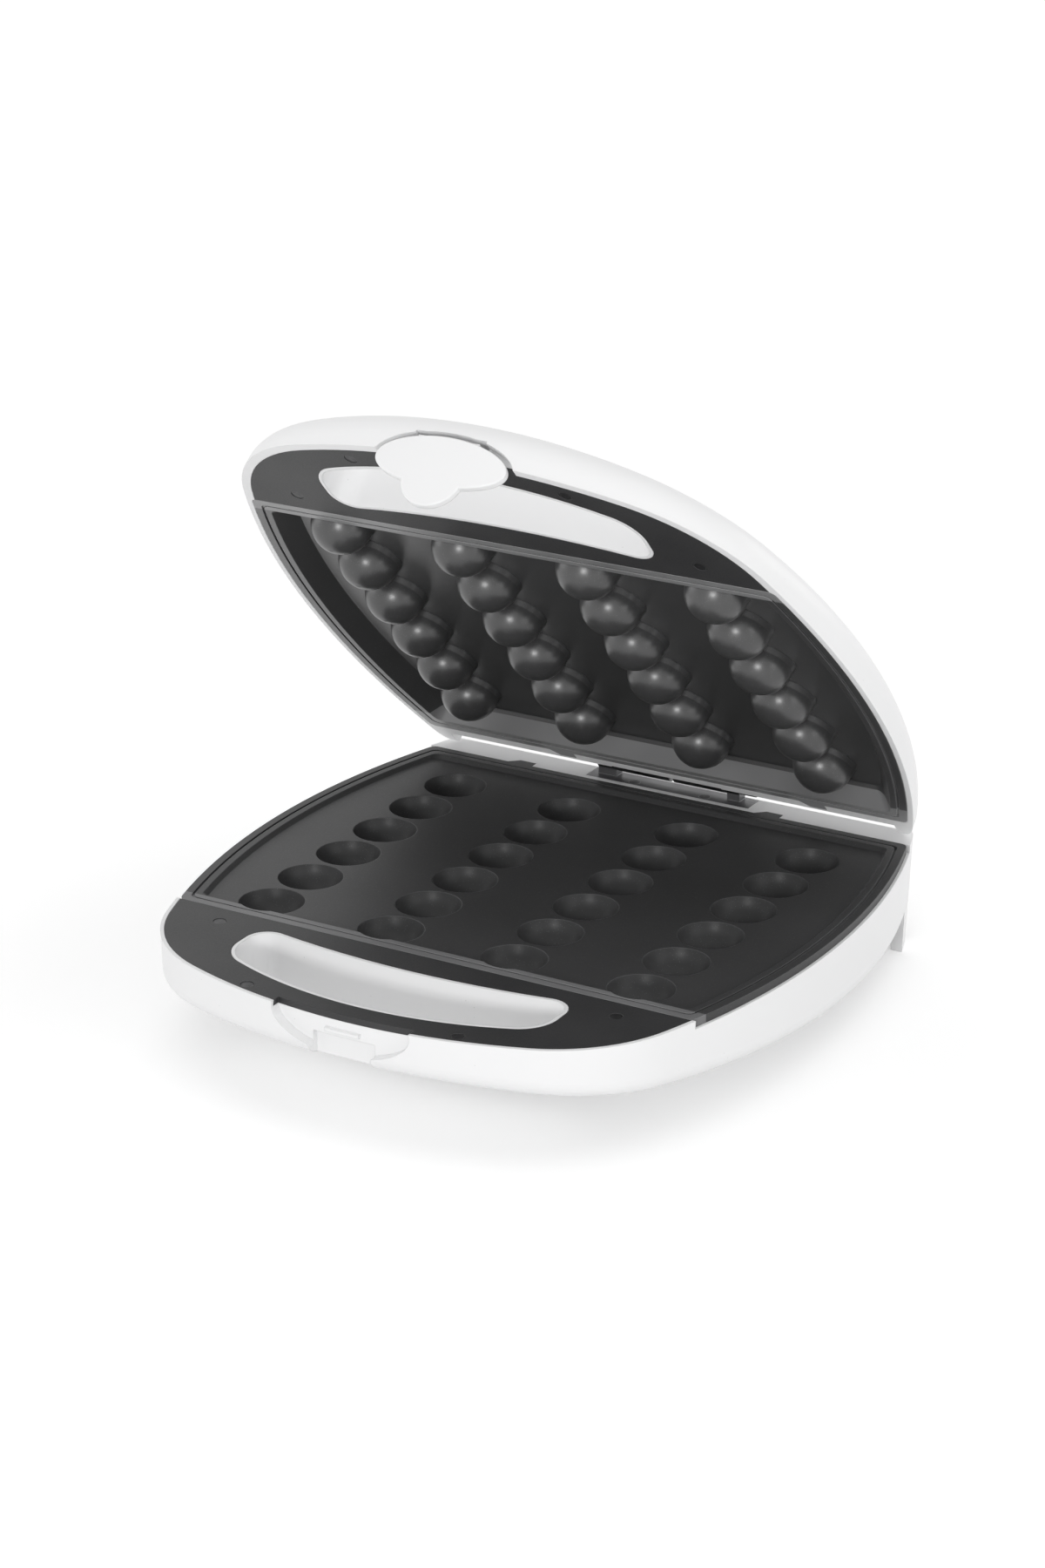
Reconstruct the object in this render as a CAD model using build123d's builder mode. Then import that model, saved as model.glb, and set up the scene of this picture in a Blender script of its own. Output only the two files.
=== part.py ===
from build123d import *
import os

os.makedirs("parts", exist_ok=True)

# All lengths are millimetres and all angles degrees. Each half is drawn closed and level, x across,
# y from front to rear, z = 0 at its own rim plane. The lower half hangs below its rim, the upper half
# stands above its own. y = 0 is the front edge of the cooking plates. Both halves are moved to the
# rest pose as they are written: lid part open, origin on the table under the middle of the whole.

# Cooking plates
plate_depth = 230.0
plate_half_width = 152.5
side_radius = 397.0
side_shift = 3.0
plate_corner = 4.0
flange = 4.0
floor_wall = 3.2
rim_land = 8.5
groove_inset = 4.0
groove_width = 1.3
groove_depth = 0.9
lower_floor = 2.0
lower_floor_run = 2.0
upper_floor = 9.5
upper_floor_run = 8.0
tongue_reach = 5.0
tongue_half_width = 118.0
tongue_thick = 1.8
lug_width = 14.0
lug_tip_width = 9.0
lug_reach = 4.5
lug_thick = 3.4
lug_root = 1.0
lug_places = (-83.0, 58.0)

# Cups and domes
columns = 4
rows = 6
column_pitch = 66.0
row_pitch = 34.0
first_row = 22.0
cup_radius = 15.8
cup_depth = 14.0
cup_wall = 2.6
dome_radius = 15.0
dome_root_radius = 15.8
dome_reach = 8.5
dome_core_radius = 8.0
dome_core_depth = 11.0

# Housings
wall = 3.0
front_reach = 78.0
front_radius = 255.0
deck = 7.0
deck_seat = 4.0
deck_edge_radius = 5.0
bulkhead = 2.5
bulkhead_place = 9.0
rest_height = 57.0
closed_gap = 0.6
fit_gap = 0.2
seat_gap = 0.05
lower_proud = 1.6
lower_lip = 1.8
lower_front_corner = 74.0
lower_rear_reach = 20.5
lower_rear_corner = 12.0
lower_depth = 42.5
lower_draft = 2.0
lower_edge_radius = 9.0
underside_radius = 2240.0
tub_top = 28.0
tub_top_inset = 4.0
tub_depth = 50.0
tub_floor_inset = 54.0
upper_proud = 3.0
upper_lip = 4.5
upper_front_corner = 85.0
upper_height = 42.0
upper_rear_corner = 19.0
upper_draft = 1.8
upper_edge_radius = 17.0
upper_ledge = 6.0
upper_ledge_thick = 3.0
crown_side_radius = 570.0
crown_length_radius = 912.0

# Grip openings
grip_half_length = 82.5
grip_inner_middle = 19.0
grip_inner_end = 10.7
grip_inner_corner = 9.0
grip_outer_middle = 59.6
grip_outer_end = 40.0
grip_outer_corner = 18.0
grip_wall = 1.8

# Bezels and screws
bezel_thick = 3.0
bezel_rear = 0.3
lower_screw_places = ((-105.0, -13.0), (105.0, -13.0), (-55.0, -65.5), (55.0, -65.5))
upper_screw_places = ((-105.0, -13.0), (105.0, -13.0), (-55.0, -59.5), (55.0, -59.5))
small_head_radius = 2.9
small_head_height = 1.2
small_screw_radius = 1.45
small_screw_length = 10.0
small_boss_radius = 3.9
pilot_clearance = 0.05
large_head_radius = 3.6
large_head_height = 2.0
large_screw_radius = 1.9
large_screw_length = 8.0

# Heating
element_radius = 3.25
element_half_width = 85.0
element_front = 36.0
element_rear_gap = 24.0
element_gap = 44.0
element_bend = 24.0
terminal_radius = 1.5
terminal_length = 9.0
reflector_thick = 0.8
reflector_half_width = 108.0
reflector_front = 25.0
reflector_rear_gap = 16.0
reflector_corner = 20.0
reflector_screw_x = 68.0
plate_boss_radius = 4.6
thermostat_radius = 8.0
thermostat_height = 9.0
thermostat_room = 1.5
thermostat_stem = 2.0
fuse_radius = 2.0
fuse_length = 14.0
controls_behind = 43.0
block_width = 36.0
block_length = 18.0
block_height = 12.0
block_rear_gap = 80.0

# Hinge
hinge_behind = 12.6
hinge_height = 7.3
knuckle_radius = 5.0
knuckle_foot = 3.5
knuckle_gap = 0.5
left_knuckle = 10.5
right_knuckle = 7.0
barrel_outer = 31.0
barrel_inner = 1.2
pin_radius = 2.0
pin_clearance = 0.06
pin_press = 0.02
pin_head_radius = 3.2
pin_head_thick = 1.5
pin_cap_radius = 4.2
pin_cap_length = 8.0
pin_in_cap = 5.0
leaf_thick = 2.0
leaf_half_width = 46.0
leaf_front_gap = 3.5
leaf_width = 11.8
leaf_screw_x = 20.0
leaf_screw_gap = 7.0
barrel_leaf_height = 27.0
barrel_screw_x = 18.0
barrel_screw_height = 21.0
notch_cheek = 26.5
notch_gap = 6.0
notch_height = 13.4
open_at_rest = 46.2

# Latch
latch_half_width = 33.0
latch_half_height = 12.4
latch_drop = 3.0
tongue_radius = 15.0
tongue_drop = 10.6
latch_proud = 0.8
latch_thick = 3.2
latch_edge = 0.8
latch_margin = 2.8
upper_recess = 5.0
lower_recess = 5.8
pivot_height = 6.0
pivot_reach = 71.5
latch_pin_radius = 1.5
latch_pin_half_length = 22.0
latch_lug_inner = 9.0
latch_lug_length = 6.5
latch_lug_radius = 3.0
latch_pocket_half = 18.0
latch_pocket_depth = 11.5
latch_pocket_height = 11.2
latch_block_half = 42.0
hook_half_width = 8.0
hook_length = 1.35
hook_height = 2.0
hook_clearance = 0.4
catch_half_width = 9.0
catch_top = 7.2
catch_height = 1.8
catch_length = 1.7
finger_slot_half = 16.0
finger_slot_depth = 9.0
finger_slot_top = 11.0

# Legs, feet, cord inlet, vents and lamps
leg_step = 24.0
leg_front_gap = -1.0
leg_length = 14.0
leg_draft = 4.0
foot_radius = 8.0
foot_seat = 1.5
foot_x = 72.0
foot_y = 68.0
gland_x = -75.0
gland_drop = 22.0
gland_bore = 3.7
gland_body = 5.4
gland_nut = 7.6
gland_nut_thick = 2.4
gland_collar = 8.0
gland_boss = 9.5
gland_boss_inset = 0.5
vent_width = 3.0
vent_length = 26.0
vent_pitch = 9.0
vent_count = 7
lamp_radius = 4.5
lamp_flange = 6.0
lamp_flange_thick = 1.5
lamp_x = 14.0
lamp_y = 8.0
lamp_length = 9.0
lamp_proud = 1.2

# Places worked out from the sizes above
reach = 400.0
lower_rear = plate_depth + lower_rear_reach
plate_middle = plate_depth / 2
side_middle = plate_middle - side_shift
side_centre = side_radius - plate_half_width
front_centre = front_radius - front_reach
hinge_y = plate_depth + hinge_behind
nose_radius = hinge_height - closed_gap
upper_rear = hinge_y + nose_radius
rows_length = row_pitch * (rows - 1)
middle_row = first_row + rows_length / 2
controls_y = middle_row + controls_behind
block_y = plate_depth - block_rear_gap
cup_ball = (cup_radius**2 + cup_depth**2) / (2 * cup_depth)
trough_depth = lower_floor + cup_depth + cup_wall
trough_radius = cup_radius + cup_wall
upper_back = upper_floor + floor_wall
upper_back_run = upper_back * upper_floor_run / upper_floor
lower_element_z = -(trough_depth + seat_gap + element_radius)
lower_reflector_z = lower_element_z - element_radius - seat_gap
upper_element_z = upper_back + seat_gap + element_radius
upper_reflector_z = upper_element_z + element_radius + seat_gap
pad_outer = front_radius + latch_proud
pad_inner = pad_outer - latch_thick
pad_back = pad_inner - front_centre
hook_top = -(catch_top + catch_height + hook_clearance + closed_gap)
leaf_face = hinge_y - knuckle_radius
element_rear = plate_depth - element_rear_gap
reflector_rear = plate_depth - reflector_rear_gap
reflector_screw_y = (first_row + row_pitch, first_row + 4 * row_pitch)
reflector_screw_places = [(x, y) for x in (-reflector_screw_x, reflector_screw_x) for y in reflector_screw_y]
leaf_front = plate_depth + leaf_front_gap
leaf_rear = leaf_front + leaf_width
leaf_screw_y = plate_depth + leaf_screw_gap
notch_half = plate_half_width - notch_cheek
notch_front = plate_depth + notch_gap
leg_inner = plate_half_width - leg_step
leg_front = plate_depth + leg_front_gap
gland_boss_rear = lower_rear - gland_boss_inset
lamp_z = (
    upper_height
    - lamp_x**2 / (2 * crown_side_radius)
    - (plate_middle - lamp_y) ** 2 / (2 * crown_length_radius)
)


# Outlines, seen from above

def bow_sides(inset):
    # The two long sides are arcs of one radius, mirrored
    with Locations((-side_centre, side_middle)):
        Circle(side_radius - inset)
    with Locations((side_centre, side_middle)):
        Circle(side_radius - inset, mode=Mode.INTERSECT)


def plate_face(inset):
    # Bowed sides between straight front and rear edges
    with BuildSketch() as face:
        bow_sides(inset)
        with Locations((0, plate_depth / 2)):
            Rectangle(reach, plate_depth - 2 * inset, mode=Mode.INTERSECT)
        fillet(face.vertices().sort_by(Axis.Y)[:2], plate_corner)
        fillet(face.vertices().sort_by(Axis.Y)[-2:], plate_corner)
    return face.sketch


def body_face(inset, proud, front_corner, rear, rear_corner):
    # The plate's bowed sides run on to a rounded front round the grip
    with BuildSketch() as face:
        bow_sides(inset - proud)
        with Locations((0, front_centre)):
            Circle(front_radius - inset, mode=Mode.INTERSECT)
        with Locations((0, rear - inset)):
            Rectangle(reach, 2 * reach, align=(Align.CENTER, Align.MAX), mode=Mode.INTERSECT)
        fillet(face.vertices().sort_by(Axis.Y)[:2], front_corner - inset)
        fillet(face.vertices().sort_by(Axis.Y)[-2:], rear_corner - inset)
    return face.sketch


def lower_face(inset):
    return body_face(inset, lower_proud, lower_front_corner, lower_rear, lower_rear_corner)


def upper_face(inset):
    return body_face(inset, upper_proud, upper_front_corner, upper_rear, upper_rear_corner)


def bezel_face(outline, rear):
    # The front part of a housing's outline, up to the plate
    with BuildSketch() as face:
        add(outline)
        with Locations((0, -rear)):
            Rectangle(reach, reach, align=(Align.CENTER, Align.MAX), mode=Mode.INTERSECT)
    return face.sketch


def grip_face(grow):
    # The crescent that the hand goes through
    left, right = -grip_half_length, grip_half_length
    with BuildSketch() as face:
        with BuildLine():
            ThreePointArc((left, -grip_inner_end), (0, -grip_inner_middle), (right, -grip_inner_end))
            Line((right, -grip_inner_end), (right, -grip_outer_end))
            ThreePointArc((right, -grip_outer_end), (0, -grip_outer_middle), (left, -grip_outer_end))
            Line((left, -grip_outer_end), (left, -grip_inner_end))
        make_face()
        fillet(face.vertices().sort_by(Axis.Y)[-2:], grip_inner_corner)
        fillet(face.vertices().sort_by(Axis.Y)[:2], grip_outer_corner)
        if grow:
            offset(amount=grow)
    return face.sketch


def lug_face(grow):
    # A rear lug: one slanted side and one square side
    half = lug_width / 2 + grow
    with BuildSketch() as face:
        with BuildLine():
            Polyline(
                (-half, -lug_root), (half, -lug_root), (half, lug_reach + grow),
                (half - lug_tip_width, lug_reach + grow), (-half, 0), close=True,
            )
        make_face()
    return face.sketch


def latch_face(grow):
    # The latch from the front: a lying oval with a round tongue below it
    with BuildSketch() as face:
        with Locations((0, -latch_drop)):
            Ellipse(latch_half_width + grow, latch_half_height + grow)
        with Locations((0, -tongue_drop)):
            Circle(tongue_radius + grow)
    return face.sketch


def groove_face():
    with BuildSketch() as face:
        add(plate_face(groove_inset))
        add(plate_face(groove_inset + groove_width), mode=Mode.SUBTRACT)
    return face.sketch


def reflector_face():
    with BuildSketch() as face:
        with Locations((0, (reflector_front + reflector_rear) / 2)):
            RectangleRounded(2 * reflector_half_width, reflector_rear - reflector_front, reflector_corner)
        with Locations(*reflector_screw_places):
            Circle(large_screw_radius + fit_gap, mode=Mode.SUBTRACT)
    return face.sketch


# Small solids that several pieces use

def box_between(low, high, mode=Mode.ADD):
    with Locations(low):
        Box(*[b - a for a, b in zip(low, high)], align=Align.MIN, mode=mode)


def rod_up(radius, length, mode=Mode.ADD):
    Cylinder(radius, length, align=(Align.CENTER, Align.CENTER, Align.MIN), mode=mode)


def rod_down(radius, length, mode=Mode.ADD):
    Cylinder(radius, length, align=(Align.CENTER, Align.CENTER, Align.MAX), mode=mode)


def rod_across(radius, start, end, y, z, mode=Mode.ADD):
    # A rod along x, between two places on it
    with Locations(((start + end) / 2, y, z)):
        Cylinder(radius, end - start, rotation=(0, 90, 0), mode=mode)


def rod_along(radius, start, end, x, z, mode=Mode.ADD):
    # A rod along y
    with Locations((x, (start + end) / 2, z)):
        Cylinder(radius, end - start, rotation=(90, 0, 0), mode=mode)


# Housing forms, outer at inset 0 and cavity at inset wall

def lower_block(inset):
    # Drafted walls over an underside that rises to the front, with a shallow tub below
    with BuildPart() as block:
        with BuildSketch():
            add(lower_face(inset))
        extrude(amount=-tub_depth, taper=lower_draft)
        with BuildSketch(Plane.YZ):
            with Locations((plate_depth, underside_radius - lower_depth)):
                Circle(underside_radius - inset)
        extrude(amount=reach, both=True, mode=Mode.INTERSECT)
        fillet(block.faces().sort_by(Axis.Z)[0].edges(), lower_edge_radius - inset)
        with BuildSketch(Plane.XY.offset(inset - tub_top)):
            add(plate_face(tub_top_inset + inset))
        with BuildSketch(Plane.XY.offset(inset - tub_depth)):
            add(plate_face(tub_floor_inset + inset))
        loft(ruled=True)
    return block.part


def upper_block(inset):
    # Upright walls under a crown that curves both ways
    with BuildPart() as block:
        with BuildSketch():
            add(upper_face(inset))
        extrude(amount=2 * upper_height, taper=upper_draft)
        with BuildSketch(Plane.XZ.offset(-plate_middle)):
            with Locations((0, upper_height - crown_side_radius)):
                Circle(crown_side_radius - inset)
            with Locations((0, -upper_height)):
                Rectangle(reach, 3 * upper_height, align=(Align.CENTER, Align.MIN), mode=Mode.INTERSECT)
        crown_axis = Axis((0, plate_middle, upper_height - crown_length_radius), (1, 0, 0))
        revolve(axis=crown_axis, mode=Mode.INTERSECT)
        fillet(block.faces().sort_by(Axis.Z)[-1].edges(), upper_edge_radius - inset)
    return block.part


def latch_recess(depth, height):
    # Hollow in a front wall for the latch's pad, its floor parallel to the wall
    with BuildPart() as hollow:
        with BuildSketch(Plane.XZ.offset(front_reach / 2)):
            with Locations((0, height)):
                add(latch_face(latch_margin))
        extrude(amount=front_reach)
        with Locations((0, front_centre, 0)):
            Cylinder(front_radius - depth, front_reach, mode=Mode.SUBTRACT)
    return hollow.part


def latch_pocket():
    # Room behind the pad for the latch's two lugs
    with BuildPart() as hollow:
        box_between(
            (-latch_pocket_half, -front_reach, -closed_gap),
            (latch_pocket_half, latch_pocket_depth - front_reach, latch_pocket_height),
        )
    return hollow.part


# Cooking plates

with BuildPart() as lower_plate:
    with BuildSketch(Plane.XY.offset(-lower_floor - floor_wall)):
        add(plate_face(rim_land / 2))
    extrude(amount=floor_wall)
    with BuildSketch(Plane.XY.offset(-flange)):
        add(plate_face(0))
    extrude(amount=flange)
    with BuildSketch(Plane.XY.offset(-trough_depth)):
        with Locations((0, middle_row)):
            with GridLocations(column_pitch, row_pitch, columns, 1):
                SlotCenterToCenter(rows_length, 2 * trough_radius, rotation=90)
        with Locations(*reflector_screw_places):
            Circle(plate_boss_radius)
    extrude(amount=cup_depth)
    with Locations(*[(x, y, -trough_depth) for x, y in reflector_screw_places]):
        rod_down(plate_boss_radius, 2 * element_radius + seat_gap)
    box_between(
        (-tongue_half_width, -tongue_reach, -bezel_thick - fit_gap - tongue_thick),
        (tongue_half_width, rim_land, -bezel_thick - fit_gap),
    )
    with BuildSketch(Plane.XY.offset(-lug_thick)):
        with Locations(*[(x, plate_depth) for x in lug_places]):
            add(lug_face(0))
    extrude(amount=lug_thick)
    with BuildSketch():
        add(plate_face(rim_land))
    with BuildSketch(Plane.XY.offset(-lower_floor)):
        add(plate_face(rim_land + lower_floor_run))
    loft(ruled=True, mode=Mode.SUBTRACT)
    with BuildSketch():
        add(groove_face())
    extrude(amount=-groove_depth, mode=Mode.SUBTRACT)
    with Locations((0, middle_row, cup_ball - cup_depth - lower_floor)):
        with GridLocations(column_pitch, row_pitch, columns, rows):
            Sphere(cup_ball, mode=Mode.SUBTRACT)
    with Locations(*[(x, y, lower_reflector_z) for x, y in reflector_screw_places]):
        rod_up(large_screw_radius + pilot_clearance, large_screw_length, Mode.SUBTRACT)

with BuildPart() as dome:
    with BuildSketch(Plane.XZ):
        with BuildLine():
            Line((0, -dome_reach), (0, upper_floor))
            Line((0, upper_floor), (dome_root_radius, upper_floor))
            Line((dome_root_radius, upper_floor), (dome_radius, dome_radius - dome_reach))
            RadiusArc((dome_radius, dome_radius - dome_reach), (0, -dome_reach), dome_radius)
        make_face()
    revolve()
    with Locations((0, 0, upper_floor)):
        rod_down(dome_core_radius, dome_core_depth, Mode.SUBTRACT)

with BuildPart() as tray_room:
    with BuildSketch():
        add(plate_face(rim_land))
    with BuildSketch(Plane.XY.offset(upper_floor)):
        add(plate_face(rim_land + upper_floor_run))
    loft(ruled=True)
    with BuildSketch():
        add(plate_face(rim_land))
    extrude(amount=-dome_radius)

with BuildPart() as upper_domes:
    with Locations((0, middle_row, 0)):
        with GridLocations(column_pitch, row_pitch, columns, rows):
            add(dome.part)
    add(tray_room.part, mode=Mode.INTERSECT)

with BuildPart() as upper_plate:
    with BuildSketch():
        add(plate_face(rim_land - floor_wall))
    with BuildSketch(Plane.XY.offset(upper_back)):
        add(plate_face(rim_land - floor_wall + upper_back_run))
    loft(ruled=True)
    with BuildSketch():
        add(plate_face(0))
    extrude(amount=flange)
    with BuildSketch(Plane.XY.offset(upper_floor)):
        with Locations(*reflector_screw_places):
            Circle(plate_boss_radius)
    extrude(amount=upper_reflector_z - seat_gap - upper_floor)
    box_between(
        (-tongue_half_width, -tongue_reach, bezel_thick + fit_gap),
        (tongue_half_width, rim_land, bezel_thick + fit_gap + tongue_thick),
    )
    with BuildSketch():
        with Locations(*[(-x, plate_depth) for x in lug_places]):
            add(lug_face(0))
    extrude(amount=lug_thick)
    with BuildSketch():
        add(plate_face(rim_land))
    with BuildSketch(Plane.XY.offset(upper_floor)):
        add(plate_face(rim_land + upper_floor_run))
    loft(ruled=True, mode=Mode.SUBTRACT)
    with BuildSketch():
        add(groove_face())
    extrude(amount=groove_depth, mode=Mode.SUBTRACT)
    with Locations(*[(x, y, upper_reflector_z) for x, y in reflector_screw_places]):
        rod_down(large_screw_radius + pilot_clearance, large_screw_length, Mode.SUBTRACT)

# Lower housing

with BuildPart() as lower_cavity:
    add(lower_block(wall))
    with BuildSketch():
        add(grip_face(grip_wall))
    extrude(amount=-tub_depth, mode=Mode.SUBTRACT)
    box_between((-reach, plate_depth - deck_seat, -deck), (reach, lower_rear, 0), Mode.SUBTRACT)
    box_between((-reach, -bulkhead_place, -tub_depth), (reach, bulkhead - bulkhead_place, 0), Mode.SUBTRACT)
    box_between(
        (-latch_block_half, -front_reach, -tub_depth),
        (latch_block_half, -grip_outer_middle, 0), Mode.SUBTRACT,
    )
    with Locations(*lower_screw_places):
        rod_down(small_boss_radius, tub_depth, Mode.SUBTRACT)

with BuildPart() as lower_legs:
    with BuildSketch():
        add(lower_face(0))
    extrude(amount=-rest_height, taper=lower_draft)
    with BuildSketch(Plane.XY.offset(-rest_height)):
        with Locations((leg_inner, leg_front)):
            Rectangle(leg_length, leg_length, align=Align.MIN)
        with Locations((-leg_inner, leg_front)):
            Rectangle(leg_length, leg_length, align=(Align.MAX, Align.MIN))
    extrude(amount=rest_height - tub_top, taper=-leg_draft, mode=Mode.INTERSECT)

with BuildPart() as lower_housing:
    add(lower_block(0))
    add(lower_cavity.part, mode=Mode.SUBTRACT)
    add(lower_legs.part)
    rod_along(gland_boss, plate_depth, gland_boss_rear, gland_x, -gland_drop)
    with BuildSketch(Plane.YZ):
        with Locations((lower_rear - deck_edge_radius, -deck_edge_radius)):
            Rectangle(2 * deck_edge_radius, 2 * deck_edge_radius, align=Align.MIN)
            Circle(deck_edge_radius, mode=Mode.SUBTRACT)
    extrude(amount=reach, both=True, mode=Mode.SUBTRACT)
    box_between((-reach, 0, -flange - seat_gap), (reach, plate_depth + fit_gap, 0), Mode.SUBTRACT)
    box_between(
        (-tongue_half_width - fit_gap, -tongue_reach - fit_gap, -bezel_thick - 2 * fit_gap - tongue_thick),
        (tongue_half_width + fit_gap, rim_land, 0), Mode.SUBTRACT,
    )
    with BuildSketch():
        with Locations(*[(x, plate_depth) for x in lug_places]):
            add(lug_face(fit_gap))
    extrude(amount=-lug_thick - seat_gap, mode=Mode.SUBTRACT)
    with BuildSketch():
        add(bezel_face(lower_face(lower_lip), 0))
    extrude(amount=-bezel_thick - seat_gap, mode=Mode.SUBTRACT)
    with BuildSketch():
        add(grip_face(0))
    extrude(amount=-tub_depth, mode=Mode.SUBTRACT)
    with BuildSketch(Plane.XY.offset(-bezel_thick - seat_gap)):
        add(grip_face(grip_wall))
        add(grip_face(0), mode=Mode.SUBTRACT)
    extrude(amount=bezel_thick + seat_gap)
    add(latch_recess(lower_recess, closed_gap), mode=Mode.SUBTRACT)
    box_between(
        (-finger_slot_half, -front_reach, -tub_depth),
        (finger_slot_half, finger_slot_depth - front_reach, -finger_slot_top), Mode.SUBTRACT,
    )
    box_between(
        (-catch_half_width, lower_recess - catch_length - front_reach, -catch_top - catch_height),
        (catch_half_width, finger_slot_depth - front_reach, -catch_top),
    )
    box_between(
        (-leaf_half_width - fit_gap, leaf_front - fit_gap, -leaf_thick - seat_gap),
        (leaf_half_width + fit_gap, leaf_rear + fit_gap, 0), Mode.SUBTRACT,
    )
    rod_along(gland_body + fit_gap / 2, plate_depth - gland_body, lower_rear, gland_x, -gland_drop, Mode.SUBTRACT)
    with Locations(*[(x, y, -bezel_thick) for x, y in lower_screw_places]):
        rod_down(small_screw_radius + pilot_clearance, small_screw_length, Mode.SUBTRACT)
    with Locations((-leaf_screw_x, leaf_screw_y, 0), (leaf_screw_x, leaf_screw_y, 0)):
        rod_down(small_screw_radius + pilot_clearance, small_screw_length + small_head_height, Mode.SUBTRACT)
    with Locations((-foot_x, foot_y, -tub_depth), (foot_x, foot_y, -tub_depth)):
        rod_up(foot_radius + fit_gap / 2, foot_seat, Mode.SUBTRACT)
    with BuildSketch(Plane.XY.offset(-tub_depth)):
        with Locations((0, plate_middle)):
            with GridLocations(vent_pitch, 0, vent_count, 1):
                SlotOverall(vent_length, vent_width, rotation=90)
    extrude(amount=wall, mode=Mode.SUBTRACT)

# Upper housing

with BuildPart() as upper_cavity:
    add(upper_block(wall))
    with BuildSketch():
        add(grip_face(grip_wall))
    extrude(amount=upper_height, mode=Mode.SUBTRACT)
    with BuildSketch():
        add(upper_face(0))
        add(upper_face(upper_ledge), mode=Mode.SUBTRACT)
    extrude(amount=flange + seat_gap + upper_ledge_thick, mode=Mode.SUBTRACT)
    box_between((-reach, plate_depth - deck_seat, 0), (reach, upper_rear, deck), Mode.SUBTRACT)
    box_between((-reach, notch_front - wall, 0), (reach, upper_rear, notch_height + wall), Mode.SUBTRACT)
    box_between(
        (-leaf_half_width, notch_front - wall, 0),
        (leaf_half_width, upper_rear, barrel_leaf_height + wall), Mode.SUBTRACT,
    )
    box_between((-reach, -bulkhead_place, 0), (reach, bulkhead - bulkhead_place, upper_height), Mode.SUBTRACT)
    box_between(
        (-latch_block_half, -front_reach, 0),
        (latch_block_half, -grip_outer_middle, upper_height), Mode.SUBTRACT,
    )
    box_between(
        (-leaf_half_width, leaf_face + leaf_thick + seat_gap, 0),
        (leaf_half_width, upper_rear, upper_height), Mode.SUBTRACT,
    )
    with Locations(*upper_screw_places):
        rod_up(small_boss_radius, upper_height, Mode.SUBTRACT)

with BuildPart() as upper_housing:
    add(upper_block(0))
    add(upper_cavity.part, mode=Mode.SUBTRACT)
    with BuildSketch(Plane.YZ):
        with Locations((hinge_y, 0)):
            Rectangle(2 * nose_radius, nose_radius, align=Align.MIN)
        with Locations((hinge_y, nose_radius)):
            Circle(nose_radius, mode=Mode.SUBTRACT)
    extrude(amount=reach, both=True, mode=Mode.SUBTRACT)
    with BuildSketch():
        add(plate_face(-fit_gap))
    extrude(amount=flange + seat_gap, mode=Mode.SUBTRACT)
    box_between(
        (-tongue_half_width - fit_gap, -tongue_reach - fit_gap, 0),
        (tongue_half_width + fit_gap, rim_land, bezel_thick + 2 * fit_gap + tongue_thick), Mode.SUBTRACT,
    )
    with BuildSketch():
        with Locations(*[(-x, plate_depth) for x in lug_places]):
            add(lug_face(fit_gap))
    extrude(amount=lug_thick + seat_gap, mode=Mode.SUBTRACT)
    with BuildSketch():
        add(bezel_face(upper_face(upper_lip), 0))
    extrude(amount=bezel_thick + seat_gap, mode=Mode.SUBTRACT)
    with BuildSketch():
        add(grip_face(0))
    extrude(amount=upper_height, mode=Mode.SUBTRACT)
    with BuildSketch():
        add(grip_face(grip_wall))
        add(grip_face(0), mode=Mode.SUBTRACT)
    extrude(amount=bezel_thick + seat_gap)
    add(latch_recess(upper_recess, 0), mode=Mode.SUBTRACT)
    add(latch_pocket(), mode=Mode.SUBTRACT)
    rod_across(
        latch_pin_radius + pin_press, -latch_pin_half_length - seat_gap,
        latch_pin_half_length + seat_gap, -pivot_reach, pivot_height, Mode.SUBTRACT,
    )
    box_between(
        (-notch_half, notch_front, 0),
        (notch_half, upper_rear, notch_height), Mode.SUBTRACT,
    )
    box_between(
        (-barrel_outer - fit_gap, leaf_face - large_head_height - 2 * fit_gap, 0),
        (barrel_outer + fit_gap, leaf_face + leaf_thick + seat_gap, barrel_leaf_height + fit_gap),
        Mode.SUBTRACT,
    )
    for x in (-barrel_screw_x, barrel_screw_x):
        rod_along(
            large_screw_radius + pilot_clearance, leaf_face, leaf_face + large_screw_length,
            x, barrel_screw_height, Mode.SUBTRACT,
        )
    with Locations(*[(x, y, bezel_thick) for x, y in upper_screw_places]):
        rod_up(small_screw_radius + pilot_clearance, small_screw_length, Mode.SUBTRACT)
    with Locations((-lamp_x, lamp_y, lamp_z), (lamp_x, lamp_y, lamp_z)):
        Cylinder(lamp_radius + fit_gap / 2, 4 * wall, mode=Mode.SUBTRACT)

# Bezels

with BuildPart() as lower_bezel:
    with BuildSketch():
        add(bezel_face(lower_face(lower_lip + fit_gap), bezel_rear))
        add(grip_face(grip_wall + fit_gap), mode=Mode.SUBTRACT)
    extrude(amount=-bezel_thick)
    add(latch_recess(lower_recess, closed_gap), mode=Mode.SUBTRACT)
    with Locations(*lower_screw_places):
        CounterBoreHole(small_screw_radius + fit_gap, small_head_radius + fit_gap, small_head_height + fit_gap)

with BuildPart() as upper_bezel:
    with BuildSketch():
        add(bezel_face(upper_face(upper_lip + fit_gap), bezel_rear))
        add(grip_face(grip_wall + fit_gap), mode=Mode.SUBTRACT)
    extrude(amount=bezel_thick)
    add(latch_recess(upper_recess, 0), mode=Mode.SUBTRACT)
    add(latch_pocket(), mode=Mode.SUBTRACT)
    with Locations(*upper_screw_places):
        rod_up(small_screw_radius + fit_gap, bezel_thick, Mode.SUBTRACT)
        rod_up(small_head_radius + fit_gap, small_head_height + fit_gap, Mode.SUBTRACT)

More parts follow.
